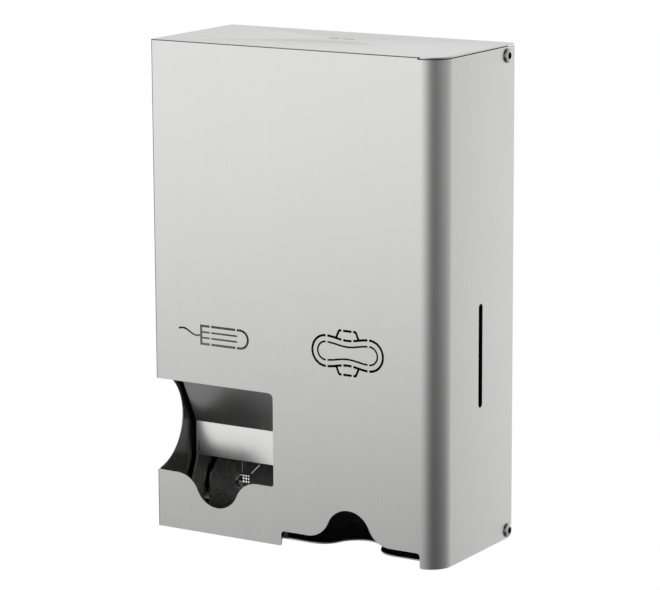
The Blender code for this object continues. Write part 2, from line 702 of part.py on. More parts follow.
def rivet_hole(name, x, z):
    """Hole for a rivet through the back plate and whatever it holds."""
    return rod(name, (x, OVERRUN, z), (x, -PLATE_SHEET - MAGAZINE_SHEET - OVERRUN, z),
               RIVET_RADIUS + CLEARANCE, RIVET_SIDES)


def vent_tray_corner(plate, name, edge, way):
    """Cuts nine vents and a window behind a lower rear corner of the tray, inward from edge."""
    vents = bmesh.new()
    turn = Matrix.Rotation(math.pi / 2, 4, "X")
    for row in range(3):
        for column in range(3):
            x = edge + way * (VENT_INSET + column * VENT_PITCH)
            place = Matrix.Translation((x, -PLATE_SHEET / 2, BOTTOM + VENT_LOW + row * VENT_PITCH))
            bmesh.ops.create_cone(
                vents, cap_ends=True, segments=VENT_SIDES, radius1=VENT_RADIUS, radius2=VENT_RADIUS,
                depth=PLATE_SHEET + 2 * OVERRUN, matrix=place @ turn,
            )
    cut(plate, from_bmesh(f"vents_{name}", vents))
    x_low, x_high = sorted((edge + way * WINDOW_INSET, edge + way * (WINDOW_INSET + WINDOW_WIDTH)))
    cut(plate, box(
        f"window_{name}", (x_low, -PLATE_SHEET - OVERRUN, BOTTOM + WINDOW_LOW),
        (x_high, OVERRUN, BOTTOM + WINDOW_HIGH),
    ))


def make_back_plate(material):
    x, y = PLATE_HALF_WIDTH - PLATE_SHEET / 2, -PLATE_SHEET / 2
    plan = [(-x, -FLANGE_DEPTH), (-x, y), (x, y), (x, -FLANGE_DEPTH)]
    path = rounded([Vector((a, b, BOTTOM)) for a, b in plan], PLATE_FOLD - PLATE_SHEET / 2)
    plate = ribbons("back_plate", [path], (0, 0, PLATE_TOP - BOTTOM), PLATE_SHEET)
    plate.data.materials.append(material)
    outer, reach = PLATE_HALF_WIDTH, SCREW_RADIUS + STUD_NOTCH_GAP
    cut(plate, box(
        "stud_notches", (-outer - OVERRUN, -FLANGE_DEPTH - OVERRUN, STUD.z - reach),
        (outer + OVERRUN, STUD.y + reach, STUD.z + reach),
    ))
    across = Vector((outer + OVERRUN, 0, 0))
    cut(plate, rod("flange_pivot_holes", PIVOT - across, PIVOT + across, SCREW_RADIUS + CLEARANCE))
    for name, way in (("left", -1), ("right", 1)):
        low, high = sorted((way * (outer + OVERRUN), way * (outer - 2 * PLATE_SHEET)))
        cut(plate, corner_cutter(f"flange_rounding_{name}", 0, BOTTOM, PIVOT_INSET, low, high))
        edge = TRAY_MIDDLE + way * (TRAY_MIDDLE - LEFT_PLATE)
        vent_tray_corner(plate, name, edge, -way)
        x = way * (RIGHT - WALL_HOLE_INSET)
        through = -PLATE_SHEET - OVERRUN, OVERRUN
        low_hole = arc((x, BOTTOM + WALL_HOLE_LOW), WALL_HOLE_RADIUS, 0, 345, 23)
        cut(plate, flat(f"wall_hole_{name}", low_hole, "Y", *through))
        top, drop = TOP - WALL_HOLE_DROP, TOP - WALL_HOLE_DROP - KEYHOLE_DROP
        lean = math.degrees(math.asin(WALL_HOLE_RADIUS / KEYHOLE_RADIUS))
        keyhole = arc((x, top), WALL_HOLE_RADIUS, 0, 180)
        keyhole += arc((x, drop), KEYHOLE_RADIUS, 90 + lean, 450 - lean, 2 * ARC_STEPS)
        cut(plate, flat(f"keyhole_{name}", keyhole, "Y", *through))
    for name, x, z in rivet_places():
        cut(plate, rivet_hole(f"plate_hole_{name}", x, z))
    return plate


def magazine_outline(toe, foot_notch):
    """Side outline, as (y, z), of a plate that runs from the front of the bay to its flange."""
    rear, top = FLANGE_FACE, MAGAZINE_TOP
    foot = BOTTOM + PLATE_FOOT
    outline = [(MAGAZINE_FRONT, top)] + toe
    if foot_notch:
        heel = rear - FOOT_NOTCH_LENGTH
        outline += [(heel, foot), (heel, BOTTOM + FOOT_NOTCH_HEIGHT), (rear, BOTTOM + FOOT_NOTCH_HEIGHT)]
    else:
        outline += [(rear, foot)]
    return outline + [(rear, top)]


def add_flange(plate, x_low, x_high, z_low, rivets):
    """Joins a rear flange to a magazine plate and drills it for its rivets."""
    name = plate.name
    flange = box(f"{name}_flange", (x_low, FLANGE_FACE - MAGAZINE_SHEET, z_low),
                 (x_high, FLANGE_FACE, MAGAZINE_TOP))
    join(plate, flange)
    for rivet, x, z in rivet_places():
        if rivet.startswith(rivets):
            cut(plate, rivet_hole(f"{name}_hole_{rivet}", x, z))


def add_lip(plate, x_low, x_high):
    """Joins the front lip that keeps the pads in while the cover is open."""
    join(plate, box(
        f"{plate.name}_lip", (x_low, MAGAZINE_FRONT, BOTTOM + LIP_LOW),
        (x_high, MAGAZINE_FRONT + MAGAZINE_SHEET, MAGAZINE_TOP - LIP_DROP),
    ))


def make_left_plate(material):
    """Left wall of the tampon bay, cut back below the guide so that fingers reach in."""
    heel = FRONT + THROAT_DEPTH + TOE_SETBACK
    toe = [
        (MAGAZINE_FRONT, BOTTOM + GUIDE_TOP), (heel, BOTTOM + THROAT_TOP),
        (heel, BOTTOM + THROAT_BOTTOM - TOE_DROP), (FRONT + CHEEK_TOE_DEPTH, BOTTOM + PLATE_FOOT),
    ]
    plate = flat("tampon_left_plate", magazine_outline(toe, True), "X", LEFT_PLATE, LEFT_PLATE + MAGAZINE_SHEET)
    plate.data.materials.append(material)
    flange_low = BOTTOM + TRAY_BACK_TOP + OVERRUN
    add_flange(plate, LEFT_PLATE, LEFT_PLATE + MAGAZINE_SHEET + MAGAZINE_FLANGE, flange_low, "left_plate")
    y, z = guide_rivet_place()
    reach = LEFT_PLATE - OVERRUN, LEFT_PLATE + MAGAZINE_SHEET + OVERRUN
    cut(plate, rod("left_guide_hole", (reach[0], y, z), (reach[1], y, z), RIVET_RADIUS + CLEARANCE, RIVET_SIDES))
    return plate


def make_divider(material):
    toe = [(MAGAZINE_FRONT, BOTTOM + PLATE_FOOT)]
    plate = flat("divider_plate", magazine_outline(toe, False), "X", DIVIDER, DIVIDER + MAGAZINE_SHEET)
    plate.data.materials.append(material)
    face = DIVIDER + MAGAZINE_SHEET
    flange_low = BOTTOM + TRAY_BACK_TOP + OVERRUN
    add_flange(plate, DIVIDER, face + MAGAZINE_FLANGE, flange_low, "divider")
    add_lip(plate, DIVIDER, face + LIP_WIDTH)
    y, z = guide_rivet_place()
    cut(plate, rod("divider_guide_hole", (DIVIDER - OVERRUN, y, z), (face + OVERRUN, y, z),
                   RIVET_RADIUS + CLEARANCE, RIVET_SIDES))
    return plate


def make_right_plate(material):
    toe = [(MAGAZINE_FRONT, BOTTOM + PLATE_FOOT)]
    plate = flat("pad_right_plate", magazine_outline(toe, False), "X", RIGHT_PLATE, RIGHT_PLATE + MAGAZINE_SHEET)
    plate.data.materials.append(material)
    face = RIGHT_PLATE + MAGAZINE_SHEET
    flange_low = BOTTOM + FOOT_NOTCH_HEIGHT
    add_flange(plate, RIGHT_PLATE, face + OUTER_FLANGE, flange_low, "right_plate")
    add_lip(plate, RIGHT_PLATE - LIP_WIDTH, face)
    half = LEVEL_WINDOW_WIDTH / 2
    level = FRONT + LEVEL_SLOT_DEPTH
    window = rounded_slot((level, BOTTOM + LEVEL_SLOT_LOW), (level, BOTTOM + LEVEL_SLOT_HIGH), half)
    cut(plate, flat("level_window", window, "X", RIGHT_PLATE - OVERRUN, face + OVERRUN))
    return plate


def guide_rivet_place():
    """Depth and height of the rivets through the guide's end tabs, seen from the side."""
    return FRONT + THROAT_DEPTH + GUIDE_TAB_LENGTH / 2 + MAGAZINE_SHEET, BOTTOM + (GUIDE_TAB_LOW + GUIDE_TAB_HIGH) / 2


def make_front_guide(material):
    """Sheet that slopes back from behind the sign and drops as a vertical throat plate."""
    low = LEFT_PLATE + MAGAZINE_SHEET + CLEARANCE
    high = DIVIDER - CLEARANCE
    half = MAGAZINE_SHEET / 2
    throat = FRONT + THROAT_DEPTH + half
    points = [
        (low, MAGAZINE_FRONT + half, BOTTOM + GUIDE_TOP), (low, throat, BOTTOM + THROAT_TOP),
        (low, throat, BOTTOM + THROAT_BOTTOM),
    ]
    guide = ribbons("tampon_front_guide", [rounded(points, GUIDE_FOLD)], (high - low, 0, 0), MAGAZINE_SHEET)
    guide.data.materials.append(material)
    y, z = guide_rivet_place()
    for name, x, way in (("left", low, 1), ("right", high, -1)):
        x_low, x_high = sorted((x, x + way * MAGAZINE_SHEET))
        join(guide, box(
            f"guide_tab_{name}", (x_low, throat, BOTTOM + GUIDE_TAB_LOW),
            (x_high, throat + GUIDE_TAB_LENGTH, BOTTOM + GUIDE_TAB_HIGH),
        ))
        start, end = (x - way * OVERRUN, y, z), (x + way * (MAGAZINE_SHEET + OVERRUN), y, z)
        cut(guide, rod(f"guide_hole_{name}", start, end, RIVET_RADIUS + CLEARANCE, RIVET_SIDES))
        slit_low, slit_high = sorted((x + way * GUIDE_SLIT_OFFSET, x + way * (GUIDE_SLIT_OFFSET + GUIDE_SLIT_WIDTH)))
        slit_foot = BOTTOM + THROAT_BOTTOM + GUIDE_SLIT_WIDTH
        cut(guide, box(
            f"guide_slit_{name}", (slit_low, throat - OVERRUN, slit_foot),
            (slit_high, throat + OVERRUN, slit_foot + GUIDE_SLIT_LENGTH),
        ))
    return guide


def make_tray(material):
    """Folded pan: a floor with a front lip, a back wall and a cheek at each end.

    In front of the cheeks the floor reaches almost to the plates beside it.
    """
    low = LEFT_PLATE + MAGAZINE_SHEET + TRAY_GAP
    high = DIVIDER - TRAY_GAP
    half = MAGAZINE_SHEET / 2
    front = MAGAZINE_FRONT + half
    rear = FLANGE_FACE - half
    front_floor, rear_floor = BOTTOM + TRAY_FRONT_HEIGHT - half, BOTTOM + TRAY_REAR_HEIGHT - half
    points = [
        (low, front, BOTTOM + TRAY_LIP_TOP), (low, front, front_floor),
        (low, rear, rear_floor), (low, rear, BOTTOM + TRAY_BACK_TOP),
    ]
    tray = ribbons("tampon_tray", [rounded(points, MAGAZINE_SHEET)], (high - low, 0, 0), MAGAZINE_SHEET)
    tray.data.materials.append(material)
    cheek_rear = rear - half - TRAY_CHEEK_SEAM
    top = BOTTOM + TRAY_CHEEK_TOP
    foot, floor = FRONT + TRAY_CHEEK_DEPTH, min(front_floor, rear_floor)
    bend = arc((foot + TRAY_CHEEK_BEND, BOTTOM + TRAY_CHEEK_BEND_LOW), TRAY_CHEEK_BEND, 180, 90 + TRAY_CHEEK_LEAN)
    crest = bend[-1][0] + (top - bend[-1][1]) / math.tan(math.radians(TRAY_CHEEK_LEAN))
    for name, x in (("left", low), ("right", high - MAGAZINE_SHEET)):
        outline = [(cheek_rear, floor), (foot, floor)] + bend + [(crest, top), (cheek_rear, top)]
        join(tray, flat(f"tray_cheek_{name}", outline, "X", x, x + MAGAZINE_SHEET))
    rise = (rear_floor - front_floor) / (rear - front)
    start, thin = front + MAGAZINE_SHEET, half - CLEARANCE / 2
    slab = [
        (y, front_floor + rise * (y - front) + side * thin)
        for y, side in ((start, -1), (foot, -1), (foot, 1), (start, 1))
    ]
    for name, edge, way in (("left", low, -1), ("right", high, 1)):
        reach = sorted((edge - way * MAGAZINE_SHEET, edge + way * (TRAY_GAP - CLEARANCE)))
        join(tray, flat(f"tray_floor_{name}", slab, "X", *reach))
    relief_top = BOTTOM + TRAY_REAR_HEIGHT + TRAY_RELIEF_RISE
    for name, edge, way in (("left", low, 1), ("right", high, -1)):
        corner = edge + way * TRAY_RELIEF_WIDTH
        x_low, x_high = sorted((edge - way * OVERRUN, corner))
        cut(tray, box(
            f"tray_relief_{name}", (x_low, rear - TRAY_RELIEF_DEPTH, BOTTOM), (x_high, rear + OVERRUN, relief_top),
        ))
        mitre = [
            Vector((corner + way * reach, rear - OVERRUN, relief_top + reach))
            for reach in (-TRAY_SLIT_WIDTH, TRAY_SLIT_REACH)
        ]
        cut(tray, ribbons(f"tray_mitre_{name}", [mitre], (0, 2 * OVERRUN, 0), TRAY_SLIT_WIDTH))
    for rivet, x, z in rivet_places():
        if rivet.startswith("tray"):
            cut(tray, rivet_hole(f"tray_hole_{rivet}", x, z))
    return tray


def make_shelf(material):
    """Floor of the pad bay, with a finger cut-out under the arch and three raised edges."""
    low = DIVIDER + MAGAZINE_SHEET + CLEARANCE
    high = RIGHT_PLATE - CLEARANCE
    top, bottom = BOTTOM + SHELF_TOP, BOTTOM + SHELF_TOP - MAGAZINE_SHEET
    front, rear = MAGAZINE_FRONT + SHELF_FRONT_GAP, FLANGE_FACE
    outline = [(low, rear), (low, front)]
    outline += bell(ARCH_CENTRE, front, SHELF_CUT_DEPTH)
    outline += arc((high - SHELF_FRONT_RADIUS, front + SHELF_FRONT_RADIUS), SHELF_FRONT_RADIUS, -90, 0)
    outline += [(high, rear)]
    shelf = flat("pad_shelf", outline, "Z", bottom, top)
    shelf.data.materials.append(material)
    side_front = front + SHELF_FRONT_RADIUS
    join(shelf, box(
        "shelf_back", (low, rear - MAGAZINE_SHEET, bottom), (high, rear, BOTTOM + SHELF_BACK_RISE),
    ))
    for name, x in (("left", low), ("right", high - MAGAZINE_SHEET)):
        join(shelf, box(
            f"shelf_side_{name}", (x, side_front, bottom),
            (x + MAGAZINE_SHEET, rear - MAGAZINE_SHEET / 2, BOTTOM + SHELF_SIDE_RISE),
        ))
    for rivet, x, z in rivet_places():
        if rivet.startswith("shelf"):
            cut(shelf, rivet_hole(f"shelf_hole_{rivet}", x, z))
    return shelf


def make_latch_bracket(material):
    """Channel on the back plate: a base, two ears for the pin and a stop over the lever."""
    half = BRACKET_WIDTH / 2
    wing = BRACKET_BASE_WIDTH / 2
    low = TOP - BRACKET_EAR_DROP - RIVET_HEAD_RADIUS
    stop_low = LATCH_AXIS.z + LATCH_KNUCKLE_RADIUS + CLEARANCE
    high = stop_low + LATCH_SHEET
    base_face = FLANGE_FACE - MAGAZINE_SHEET
    bracket = box("latch_bracket", (-wing, base_face, low), (wing, FLANGE_FACE, high))
    bracket.data.materials.append(material)
    nose = arc((LATCH_AXIS.y, LATCH_AXIS.z), BRACKET_NOSE_RADIUS, 270, 180)
    ear = [(FLANGE_FACE, low), (LATCH_AXIS.y, LATCH_AXIS.z - BRACKET_NOSE_RADIUS)] + nose[1:]
    ear += [(LATCH_AXIS.y - BRACKET_NOSE_RADIUS, high), (FLANGE_FACE, high)]
    for name, x in (("left", -half), ("right", half - LATCH_SHEET)):
        join(bracket, flat(f"bracket_ear_{name}", ear, "X", x, x + LATCH_SHEET))
    join(bracket, box(
        "lever_stop", (-half, LATCH_AXIS.y - BRACKET_NOSE_RADIUS, stop_low), (half, base_face, high),
    ))
    reach = Vector((half + OVERRUN, 0, 0))
    cut(bracket, rod("bracket_pin_holes", LATCH_AXIS - reach, LATCH_AXIS + reach, LATCH_PIN_RADIUS + CLEARANCE))
    for rivet, x, z in rivet_places():
        if rivet.startswith("bracket"):
            cut(bracket, rivet_hole(f"bracket_hole_{rivet}", x, z))
    return bracket


def make_latch_pin(material):
    reach = Vector((BRACKET_WIDTH / 2 + PIN_END, 0, 0))
    pin = rod("latch_pin", LATCH_AXIS - reach, LATCH_AXIS + reach, LATCH_PIN_RADIUS)
    pin.data.materials.append(material)
    return pin


def make_lever(material):
    """Latch lever: a knuckle on the pin, a plate under the key slots and an upturned nose."""
    half = LATCH_WIDTH / 2
    across = Vector((half, 0, 0))
    lever = rod("latch_lever", LATCH_AXIS - across, LATCH_AXIS + across, LATCH_KNUCKLE_RADIUS)
    lever.data.materials.append(material)
    top = LATCH_AXIS.z + LATCH_KNUCKLE_RADIUS
    tip = REAR - LATCH_TIP_INSET
    join(lever, box("lever_plate", (-half, tip, top - LATCH_SHEET), (half, LATCH_AXIS.y, top - CLEARANCE / 10)))
    heel = CATCH_FACE - CLEARANCE
    nose = [
        (heel, top - LATCH_SHEET / 2), (heel, top + NOSE_RISE), (heel - LATCH_SHEET, top + NOSE_RISE),
        (heel - NOSE_LENGTH, top - LATCH_SHEET / 2),
    ]
    join(lever, flat("lever_nose", nose, "X", -NOSE_WIDTH / 2, NOSE_WIDTH / 2))
    room = LATCH_SPRING_ROOM / 2
    reach = LATCH_KNUCKLE_RADIUS + LATCH_SHEET
    cut(lever, box(
        "spring_room", (-room, LATCH_AXIS.y - reach, LATCH_AXIS.z - reach),
        (room, LATCH_AXIS.y + reach, LATCH_AXIS.z + reach),
    ))
    run = Vector((half + OVERRUN, 0, 0))
    cut(lever, rod("knuckle_bore", LATCH_AXIS - run, LATCH_AXIS + run, LATCH_PIN_RADIUS + CLEARANCE))
    return lever


def make_spring(material):
    """Torsion spring round the pin: one arm under the lever, the other against the bracket."""
    length = SPRING_PITCH * SPRING_TURNS
    points = []
    for step in range(SPRING_TURNS * SPRING_STEPS + 1):
        share = step / SPRING_STEPS
        turn = math.tau * share
        points.append(Vector((
            -length / 2 + SPRING_PITCH * share,
            LATCH_AXIS.y - SPRING_RADIUS * math.sin(turn), LATCH_AXIS.z - SPRING_RADIUS * math.cos(turn),
        )))
    turns = list(enumerate(points))
    gap = min((a - b).length for i, a in turns for j, b in turns if j - i > SPRING_STEPS / 2) - 2 * SPRING_WIRE
    print(f"latch spring: least gap to itself {gap * 1000:.2f} mm")
    lever_plate = LATCH_AXIS.z + LATCH_KNUCKLE_RADIUS - LATCH_SHEET
    rear_face = FLANGE_FACE - MAGAZINE_SHEET
    front_arm = Vector((points[-1].x, LATCH_AXIS.y - SPRING_ARM, lever_plate - SPRING_WIRE - CLEARANCE))
    rear_arm = Vector((points[0].x, rear_face - SPRING_WIRE - CLEARANCE, points[0].z))
    points = [rear_arm] + points + [front_arm]
    curve = bpy.data.curves.new("latch_spring", "CURVE")
    curve.dimensions = "3D"
    curve.bevel_depth = SPRING_WIRE
    curve.bevel_resolution = 1
    curve.use_fill_caps = True
    spline = curve.splines.new("POLY")
    spline.points.add(len(points) - 1)
    for place, point in zip(spline.points, points):
        place.co = (*point, 1)
    spring = add_object("latch_spring", curve)
    curve.materials.append(material)
    return spring


def hang(pieces, name, place):
    """Parents pieces to an empty on their joint's axis."""
    axis = bpy.data.objects.new(name, None)
    axis.location = place
    bpy.data.collections[PARTS].objects.link(axis)
    for piece in pieces:
        piece.parent = axis
        piece.matrix_parent_inverse = Matrix.Translation(place).inverted()


def shade(obj):
    if obj.type == "MESH":
        obj.data.shade_smooth()
        obj.data.set_sharp_from_angle(angle=math.radians(30))


def main():
    start_scene()
    brushed = steel("brushed_steel", (0.62, 0.62, 0.61), 0.34)
    inner = steel("plain_steel", (0.50, 0.50, 0.50), 0.42)
    zinc = steel("bright_screw_steel", (0.66, 0.66, 0.65), 0.25)
    spring_steel = steel("spring_steel", (0.35, 0.35, 0.36), 0.30)
    nylon = steel("white_nylon", (0.82, 0.82, 0.80), 0.50, 0.0)

    cover_pieces = [make_cover(brushed), make_catch(inner)]
    cover_pieces += both_sides(lambda end, way: make_screw(f"stud_screw_{end}", STUD, way, zinc))
    cover_pieces += both_sides(lambda end, way: make_nut(f"stud_nut_{end}", STUD, way, zinc))
    hang(cover_pieces, "cover_axis", PIVOT)

    both_sides(lambda end, way: make_screw(f"pivot_screw_{end}", PIVOT, way, zinc))
    both_sides(lambda end, way: make_nut(f"pivot_nut_{end}", PIVOT, way, zinc))
    both_sides(lambda end, way: make_washer(f"pivot_washer_{end}", PIVOT, way, nylon))

    make_back_plate(inner)
    make_left_plate(inner)
    make_divider(inner)
    make_right_plate(inner)
    make_front_guide(inner)
    make_tray(inner)
    make_shelf(inner)
    for name, x, z in rivet_places():
        make_rivet(name, (x, -CLEARANCE, z), (0, -1, 0), PLATE_SHEET + MAGAZINE_SHEET, zinc)
    y, z = guide_rivet_place()
    grip = 2 * MAGAZINE_SHEET + CLEARANCE
    inside_left = LEFT_PLATE + 2 * MAGAZINE_SHEET + CLEARANCE
    inside_right = DIVIDER - MAGAZINE_SHEET - CLEARANCE
    make_rivet("guide_rivet_left", (inside_left, y, z), (-1, 0, 0), grip, zinc)
    make_rivet("guide_rivet_right", (inside_right, y, z), (1, 0, 0), grip, zinc)

    make_latch_bracket(inner)
    make_latch_pin(zinc)
    make_spring(spring_steel)
    hang([make_lever(inner)], "latch_axis", LATCH_AXIS)

    for obj in bpy.data.collections[PARTS].objects:
        shade(obj)


main()
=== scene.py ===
"""Looks of the tampon and pad dispenser: brushed sheet steel on a pale floor.

Metres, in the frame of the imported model: +Z up, the wall at Y = 0, the front facing -Y.
"""

import json
import math
from collections import namedtuple

import bmesh
import bpy
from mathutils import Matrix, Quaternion, Vector

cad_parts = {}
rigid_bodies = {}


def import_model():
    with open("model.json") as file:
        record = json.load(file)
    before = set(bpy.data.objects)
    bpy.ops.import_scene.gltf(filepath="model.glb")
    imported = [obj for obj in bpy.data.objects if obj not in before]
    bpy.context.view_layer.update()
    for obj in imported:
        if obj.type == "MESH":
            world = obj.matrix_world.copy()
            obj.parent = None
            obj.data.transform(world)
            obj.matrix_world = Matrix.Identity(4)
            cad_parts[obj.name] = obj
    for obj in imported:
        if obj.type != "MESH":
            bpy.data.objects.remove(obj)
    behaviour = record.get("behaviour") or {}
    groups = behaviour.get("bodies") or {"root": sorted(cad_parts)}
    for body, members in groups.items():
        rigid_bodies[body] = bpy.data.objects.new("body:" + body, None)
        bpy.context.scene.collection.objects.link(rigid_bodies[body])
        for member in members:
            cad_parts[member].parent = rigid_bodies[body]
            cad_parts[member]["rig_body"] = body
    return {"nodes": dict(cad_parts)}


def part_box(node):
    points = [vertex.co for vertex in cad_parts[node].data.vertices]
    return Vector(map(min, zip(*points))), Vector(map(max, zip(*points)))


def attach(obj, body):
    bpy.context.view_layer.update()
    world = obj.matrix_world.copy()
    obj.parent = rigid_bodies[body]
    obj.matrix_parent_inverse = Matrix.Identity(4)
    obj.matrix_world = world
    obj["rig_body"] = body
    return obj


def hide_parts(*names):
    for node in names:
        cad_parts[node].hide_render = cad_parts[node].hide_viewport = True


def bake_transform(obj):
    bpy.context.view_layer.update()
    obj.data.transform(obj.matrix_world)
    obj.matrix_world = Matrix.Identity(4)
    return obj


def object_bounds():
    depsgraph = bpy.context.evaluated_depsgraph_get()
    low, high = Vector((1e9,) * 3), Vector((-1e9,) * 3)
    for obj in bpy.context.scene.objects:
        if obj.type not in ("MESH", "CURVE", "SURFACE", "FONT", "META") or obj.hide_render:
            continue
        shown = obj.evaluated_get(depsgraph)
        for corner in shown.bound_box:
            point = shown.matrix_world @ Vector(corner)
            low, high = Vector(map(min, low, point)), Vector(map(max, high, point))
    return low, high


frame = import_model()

cad_box = [list(corner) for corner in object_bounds()]

# Camera
VIEW_AZIMUTH = math.radians(31.53)
VIEW_ELEVATION = math.radians(11.52)
VIEW_ROLL = math.radians(-0.29)
VIEW_DISTANCE = 2.116
VIEW_TARGET = Vector((0.0305, -0.1065, 0.0085))
LENS = 164.78
SENSOR = 36.0

# Surroundings: (degrees to the right of the front, strength) and (degrees above level, share).
# REAR_SHARE says how much of REAR_LEVELS, instead of FRONT_LEVELS, is used in each direction.
SECTORS = (
    (-180, 1.10), (-148, 1.20), (-100, 1.25), (-45, 1.30), (-31, 1.28), (-14, 1.06),
    (1, 0.80), (17, 0.45), (32, 0.26), (45, 0.22), (60, 0.26), (78, 0.36),
    (95, 0.45), (113, 0.53), (135, 0.66), (150, 0.98), (165, 1.12), (180, 1.12),
)
REAR_SHARE = ((-180, 1.0), (-120, 1.0), (-90, 0.0), (95, 0.0), (125, 1.0), (180, 1.0))
FRONT_LEVELS = (
    (-90, 0.12), (-45, 0.14), (-30, 0.18), (-22, 0.26), (-18, 0.34),
    (-15.5, 0.46), (-13, 0.72), (-10, 0.96), (-7, 1.0), (10, 1.0),
    (24, 0.9), (34, 0.35), (45, 0.10), (65, 0.06), (90, 0.06),
)
REAR_LEVELS = (
    (-90, 0.35), (-45, 0.45), (-22, 0.62), (-16, 0.90), (-12, 1.0), (-3, 1.0),
    (5, 0.74), (32, 0.68), (48, 0.5), (65, 0.25), (90, 0.2),
)
ALL_ROUND = 360
UP_AND_DOWN = 180
RAMP_MIDDLE = 0.5
HEADROOM = 2.0  # a ramp's greys stop at 1, so the strengths go through it divided by this
WHITE = (1, 1, 1, 1)

# Floor
FLOOR_DROP = 0.17
FLOOR_SIZE = 3.0
FLOOR_COLOUR = (0.8, 0.8, 0.8, 1.0)
FLOOR_ROUGHNESS = 0.9

# Textures
GRAIN_LINES = 650.0
GRAIN_LENGTH = 0.12
GRAIN_DETAIL = 2.0
MARK_SIZE = 0.05
MARK_DETAIL = 4.0
NOISE_LOW = 0.25
NOISE_HIGH = 0.75
MIX_FIRST_VECTOR = 4
MIX_SECOND_VECTOR = 5
MIX_VECTOR_RESULT = 1

# Metals: grey and roughness are middle values, and grain and streak how far each goes to either
# side. anisotropic spreads highlights across the grain. bow is how fast the sides lean as they bow
# outward, in radians a metre.
Metal = namedtuple("Metal", "grey roughness grain streak anisotropic bow", defaults=(0.0, 0.0))
METALS = {
    "brushed_sheet": Metal(0.65, 0.27, 0.013, 0.012, anisotropic=0.6, bow=1.0),
    "plain_sheet": Metal(0.52, 0.24, 0.008, 0.02, anisotropic=0.3),
    "screw_steel": Metal(0.62, 0.16, 0.01, 0.02),
    "spring_wire": Metal(0.35, 0.25, 0.01, 0.03),
    # guide_painted_light is the guide's steel with its grey raised to 0.95, above the other sheets:
    # painted light for the light that falls through the opening onto it
    "guide_painted_light": Metal(0.95, 0.31, 0.008, 0.02),
    # cut_edge_painted_shade is rough like a cut edge, and its near-black grey is painted shade in
    # the cover's slots and seams
    "cut_edge_painted_shade": Metal(0.16, 0.5, 0.02, 0.05),
    # cover_inside_painted_shade is the cover's steel darkened to 0.36 for its inner faces: painted
    # shade inside the box
    "cover_inside_painted_shade": Metal(0.36, 0.3, 0.005, 0.02),
    # socket_painted_shade is near-black steel for the socket's walls and floor: painted shade in the
    # hollow
    "socket_painted_shade": Metal(0.08, 0.45, 0.01, 0.05),
}
STEEL_TINT = (1.0, 1.0, 0.992)
TANGENT_LEAN = (0.001, 0, 0)  # gives the level faces a direction, where the cross product is nil
SIDE_FACING_POWER = 8.0

# Nylon
NYLON_TINT = (1.0, 1.0, 0.97)
NYLON_GREYS = (0.76, 0.82)
NYLON_ROUGHNESS = (0.42, 0.55)
NYLON_MARK_SIZE = 0.002

# Copies of the sheets and small pieces
MERGE = 0.000002
FLAT_ANGLE = math.radians(0.5)
SMOOTH_ANGLE = math.radians(30)
EDGE_BREAK = 0.00012
SMALL_EDGE_BREAK = 0.0002
EDGE_SEGMENTS = 2
SHEETS = (
    "back_plate", "tampon_left_plate", "divider_plate", "pad_right_plate", "tampon_front_guide",
    "tampon_tray", "pad_shelf", "cover_catch", "latch_bracket", "latch_lever",
)

# Faces, by the share of their normal that lies along an axis: under EDGE_ON a face is edge-on to
# it, and over FACING it faces it
EDGE_ON = 0.3
FACING = 0.7

# Cover. Faces of its lid that lie within RIM of the front or a side keep the brushed finish, since
# they belong to the folds.
SHEET = 0.001
RIM = 0.02
CUT_EDGE_SLOT = 1
INSIDE_SLOT = 2

# Screws: button heads with a hexagon socket, and a thread drawn as rings
HEAD_RADIUS = 0.00525
HEAD_HEIGHT = 0.0018
HEAD_RIM = 0.0004
SOCKET_SIDES = 6
SOCKET_FLATS = 0.004
SOCKET_MOUTH = 0.0026
SOCKET_MOUTH_DEPTH = 0.0002
SOCKET_FLOOR = 0.0002
SHANK_RADIUS = 0.003
THREAD_ROOT = 0.0026
THREAD_PITCH = 0.001
PLAIN_SHANK = 0.0015
SCREW_STEPS = 48
DOME_STEPS = 8
# Slot of the socket's hollow, which is painted near-black as its shade
SOCKET_SHADE_SLOT = 1


def add_camera():
    data = bpy.data.cameras.new("camera")
    data.lens, data.sensor_width = LENS, SENSOR
    camera = bpy.data.objects.new("camera", data)
    bpy.context.scene.collection.objects.link(camera)
    back = Vector((
        math.sin(VIEW_AZIMUTH) * math.cos(VIEW_ELEVATION),
        -math.cos(VIEW_AZIMUTH) * math.cos(VIEW_ELEVATION),
        math.sin(VIEW_ELEVATION),
    ))
    camera.location = VIEW_TARGET + back * VIEW_DISTANCE
    camera.rotation_mode = "QUATERNION"
    camera.rotation_quaternion = back.to_track_quat("Z", "Y") @ Quaternion((0, 0, 1), VIEW_ROLL)
    bpy.context.scene.camera = camera


def feed(tree, sockets, values):
    """Links or sets each input socket."""
    for socket, value in zip(sockets, values):
        if isinstance(value, bpy.types.NodeSocket):
            tree.links.new(value, socket)
        else:
            socket.default_value = value


def maths(tree, operation, *values):
    node = tree.nodes.new("ShaderNodeMath")
    node.operation = operation
    feed(tree, node.inputs, values)
    return node.outputs[0]


def vector_maths(tree, operation, *values):
    node = tree.nodes.new("ShaderNodeVectorMath")
    node.operation = operation
    feed(tree, node.inputs, values)
    return node.outputs[0]


def mixed(tree, factor, first, second):
    """First shader where factor is 0, and second where it is 1."""
    node = tree.nodes.new("ShaderNodeMixShader")
    feed(tree, node.inputs, (factor, first, second))
    return node.outputs[0]


def coordinates(tree, output):
    return tree.nodes.new("ShaderNodeTexCoord").outputs[output]


def split(tree, vector):
    node = tree.nodes.new("ShaderNodeSeparateXYZ")
    tree.links.new(vector, node.inputs[0])
    return node.outputs


def combined(tree, *values):
    node = tree.nodes.new("ShaderNodeCombineXYZ")
    feed(tree, node.inputs, values)
    return node.outputs[0]


def white_to_camera(tree, lit, white):
    """The white shader for the camera's rays, straight or through glass, and lit for all others."""
    rays = tree.nodes.new("ShaderNodeLightPath").outputs
    seen = maths(tree, "MAXIMUM", rays["Is Camera Ray"], rays["Is Transmission Ray"])
    return mixed(tree, seen, lit, white)


